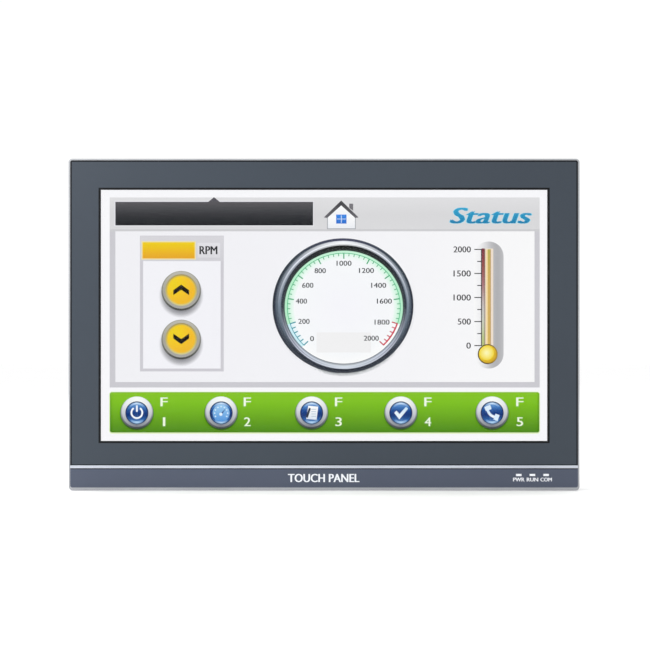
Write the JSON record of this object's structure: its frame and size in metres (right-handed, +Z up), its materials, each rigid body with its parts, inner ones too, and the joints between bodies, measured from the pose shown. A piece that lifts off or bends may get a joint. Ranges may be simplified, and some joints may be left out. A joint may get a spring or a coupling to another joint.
{
  "type": "hmi touch panel",
  "caption": "Flat operator panel for a cabinet cut-out: wide touch screen in a slim bezel, vented housing behind, ports below and screw clamps round its sides.",
  "frame": {"origin": "middle of the cabinet cut-out, on the cabinet's outer face, which is the plane of the seal's rear face", "axes": "+X to the right of a person in front of the screen, +Y into the cabinet, +Z up"},
  "size_m": [0.393, 0.05, 0.255],
  "materials": {
    "bezel_metal": "satin",
    "seal_rubber": "matt",
    "overlay_print": "fine satin print under a clear film",
    "trim": "satin",
    "label_print": "fine satin print under a clear film",
    "indicator_plastic": "clear white",
    "clear_film": "anti-glare",
    "clear_glass": "clear",
    "ribbon_amber": "satin",
    "bright_sheet": "satin",
    "picture": "lit picture",
    "white_plastic": "satin",
    "zinc_sheet": "zinc plated",
    "screw_steel": "zinc plated",
    "brass": "turned",
    "circuit_board": "solder mask",
    "chip_plastic": "matt",
    "heat_sink_metal": "anodised",
    "power_part_plastic": "satin",
    "terminal_plastic": "satin",
    "port_shell": "nickel plated",
    "switch_plastic": "satin",
    "ribbon_blue": "satin",
    "housing_plastic": "fine texture",
    "tray_plastic": "satin",
    "cell_steel": "satin",
    "clamp_metal": "die-cast zinc",
    "pad_plastic": "satin"
  },
  "bodies": {
    "panel": {"front_bezel": "bezel_metal", "panel_seal": "seal_rubber", "overlay_film": "overlay_print", "trim_strip": "trim", "label_strip": "label_print", "indicator_light_pipes": "indicator_plastic", "touch_film": "clear_film", "touch_glass": "clear_glass", "touch_tail": "ribbon_amber", "lcd_front_frame": "bright_sheet", "lcd_cell": "picture", "light_guide": "white_plastic", "lcd_back_plate": "bright_sheet", "chassis_plate": "zinc_sheet", "chassis_screws": "screw_steel", "board_standoffs": "brass", "main_board": "circuit_board", "board_screws": "screw_steel", "board_chips": "chip_plastic", "heat_sink": "heat_sink_metal", "board_power_parts": "power_part_plastic", "power_socket": "terminal_plastic", "usb_host_port": "port_shell", "usb_device_port": "port_shell", "ethernet_port": "port_shell", "serial_port_female": "port_shell", "serial_port_male": "port_shell", "dip_switch": "switch_plastic", "indicator_board": "circuit_board", "display_ribbon": "ribbon_blue", "rear_cover": "housing_plastic", "cover_posts": "brass", "cover_screws": "screw_steel", "battery_tray": "tray_plastic", "coin_cell": "cell_steel"},
    "power_plug": {"power_plug": "terminal_plastic"},
    "plug_screw_1": {"plug_screw_1": "screw_steel"},
    "plug_screw_2": {"plug_screw_2": "screw_steel"},
    "plug_screw_3": {"plug_screw_3": "screw_steel"},
    "dip_lever_1": {"dip_lever_1": "white_plastic"},
    "dip_lever_2": {"dip_lever_2": "white_plastic"},
    "battery_door": {"battery_door": "housing_plastic"},
    "clamp_bracket_1": {"clamp_bracket_1": "clamp_metal"},
    "clamp_pad_1": {"clamp_pad_1": "pad_plastic"},
    "clamp_screw_1": {"clamp_screw_1": "screw_steel"},
    "clamp_bracket_2": {"clamp_bracket_2": "clamp_metal"},
    "clamp_pad_2": {"clamp_pad_2": "pad_plastic"},
    "clamp_screw_2": {"clamp_screw_2": "screw_steel"},
    "clamp_bracket_3": {"clamp_bracket_3": "clamp_metal"},
    "clamp_pad_3": {"clamp_pad_3": "pad_plastic"},
    "clamp_screw_3": {"clamp_screw_3": "screw_steel"},
    "clamp_bracket_4": {"clamp_bracket_4": "clamp_metal"},
    "clamp_pad_4": {"clamp_pad_4": "pad_plastic"},
    "clamp_screw_4": {"clamp_screw_4": "screw_steel"},
    "clamp_bracket_5": {"clamp_bracket_5": "clamp_metal"},
    "clamp_pad_5": {"clamp_pad_5": "pad_plastic"},
    "clamp_screw_5": {"clamp_screw_5": "screw_steel"},
    "clamp_bracket_6": {"clamp_bracket_6": "clamp_metal"},
    "clamp_pad_6": {"clamp_pad_6": "pad_plastic"},
    "clamp_screw_6": {"clamp_screw_6": "screw_steel"}
  },
  "joints": [
    {"name": "battery_door_slide", "type": "slide", "parent": "panel", "child": "battery_door", "axis": [0, 0, -1], "range_m": [0, 0.03]},
    {"name": "power_plug_pull", "type": "slide", "parent": "panel", "child": "power_plug", "axis": [0, 0, -1], "range_m": [0, 0.012]},
    {"name": "plug_screw_1_turn", "type": "hinge", "parent": "power_plug", "child": "plug_screw_1", "pos_m": [-0.10008, 0.0303, -0.0985], "axis": [0, 1, 0], "range_deg": [0, 1490]},
    {"name": "plug_screw_2_turn", "type": "hinge", "parent": "power_plug", "child": "plug_screw_2", "pos_m": [-0.095, 0.0303, -0.0985], "axis": [0, 1, 0], "range_deg": [0, 1490]},
    {"name": "plug_screw_3_turn", "type": "hinge", "parent": "power_plug", "child": "plug_screw_3", "pos_m": [-0.08992, 0.0303, -0.0985], "axis": [0, 1, 0], "range_deg": [0, 1490]},
    {"name": "dip_lever_1_slide", "type": "slide", "parent": "panel", "child": "dip_lever_1", "axis": [0, 1, 0], "range_m": [0, 0.002]},
    {"name": "dip_lever_2_slide", "type": "slide", "parent": "panel", "child": "dip_lever_2", "axis": [0, 1, 0], "range_m": [0, 0.002]},
    {"name": "clamp_1_release", "type": "slide", "parent": "panel", "child": "clamp_bracket_1", "axis": [1, 0, 0], "range_m": [0, 0.009]},
    {"name": "clamp_1_pad_press", "type": "slide", "parent": "clamp_bracket_1", "child": "clamp_pad_1", "axis": [0, -1, 0], "range_m": [0, 0.005]},
    {"name": "clamp_1_screw_turn", "type": "hinge", "parent": "clamp_pad_1", "child": "clamp_screw_1", "pos_m": [-0.12, 0.015, 0.124], "axis": [0, -1, 0], "range_deg": [0, 2571.5]},
    {"name": "clamp_2_release", "type": "slide", "parent": "panel", "child": "clamp_bracket_2", "axis": [-1, 0, 0], "range_m": [0, 0.009]},
    {"name": "clamp_2_pad_press", "type": "slide", "parent": "clamp_bracket_2", "child": "clamp_pad_2", "axis": [0, -1, 0], "range_m": [0, 0.005]},
    {"name": "clamp_2_screw_turn", "type": "hinge", "parent": "clamp_pad_2", "child": "clamp_screw_2", "pos_m": [0.12, 0.015, 0.124], "axis": [0, -1, 0], "range_deg": [0, 2571.5]},
    {"name": "clamp_3_release", "type": "slide", "parent": "panel", "child": "clamp_bracket_3", "axis": [0, 0, 1], "range_m": [0, 0.009]},
    {"name": "clamp_3_pad_press", "type": "slide", "parent": "clamp_bracket_3", "child": "clamp_pad_3", "axis": [0, -1, 0], "range_m": [0, 0.005]},
    {"name": "clamp_3_screw_turn", "type": "hinge", "parent": "clamp_pad_3", "child": "clamp_screw_3", "pos_m": [0.193, 0.015, 0], "axis": [0, -1, 0], "range_deg": [0, 2571.5]},
    {"name": "clamp_4_release", "type": "slide", "parent": "panel", "child": "clamp_bracket_4", "axis": [-1, 0, 0], "range_m": [0, 0.009]},
    {"name": "clamp_4_pad_press", "type": "slide", "parent": "clamp_bracket_4", "child": "clamp_pad_4", "axis": [0, -1, 0], "range_m": [0, 0.005]},
    {"name": "clamp_4_screw_turn", "type": "hinge", "parent": "clamp_pad_4", "child": "clamp_screw_4", "pos_m": [0.12, 0.015, -0.124], "axis": [0, -1, 0], "range_deg": [0, 2571.5]},
    {"name": "clamp_5_release", "type": "slide", "parent": "panel", "child": "clamp_bracket_5", "axis": [1, 0, 0], "range_m": [0, 0.009]},
    {"name": "clamp_5_pad_press", "type": "slide", "parent": "clamp_bracket_5", "child": "clamp_pad_5", "axis": [0, -1, 0], "range_m": [0, 0.005]},
    {"name": "clamp_5_screw_turn", "type": "hinge", "parent": "clamp_pad_5", "child": "clamp_screw_5", "pos_m": [-0.12, 0.015, -0.124], "axis": [0, -1, 0], "range_deg": [0, 2571.5]},
    {"name": "clamp_6_release", "type": "slide", "parent": "panel", "child": "clamp_bracket_6", "axis": [0, 0, 1], "range_m": [0, 0.009]},
    {"name": "clamp_6_pad_press", "type": "slide", "parent": "clamp_bracket_6", "child": "clamp_pad_6", "axis": [0, -1, 0], "range_m": [0, 0.005]},
    {"name": "clamp_6_screw_turn", "type": "hinge", "parent": "clamp_pad_6", "child": "clamp_screw_6", "pos_m": [-0.193, 0.015, 0], "axis": [0, -1, 0], "range_deg": [0, 2571.5]}
  ],
  "couplings": [
    {"joint": "clamp_1_screw_turn", "follows": "clamp_1_pad_press", "rad_per_m": 8976},
    {"joint": "clamp_2_screw_turn", "follows": "clamp_2_pad_press", "rad_per_m": 8976},
    {"joint": "clamp_3_screw_turn", "follows": "clamp_3_pad_press", "rad_per_m": 8976},
    {"joint": "clamp_4_screw_turn", "follows": "clamp_4_pad_press", "rad_per_m": 8976},
    {"joint": "clamp_5_screw_turn", "follows": "clamp_5_pad_press", "rad_per_m": 8976},
    {"joint": "clamp_6_screw_turn", "follows": "clamp_6_pad_press", "rad_per_m": 8976}
  ]
}
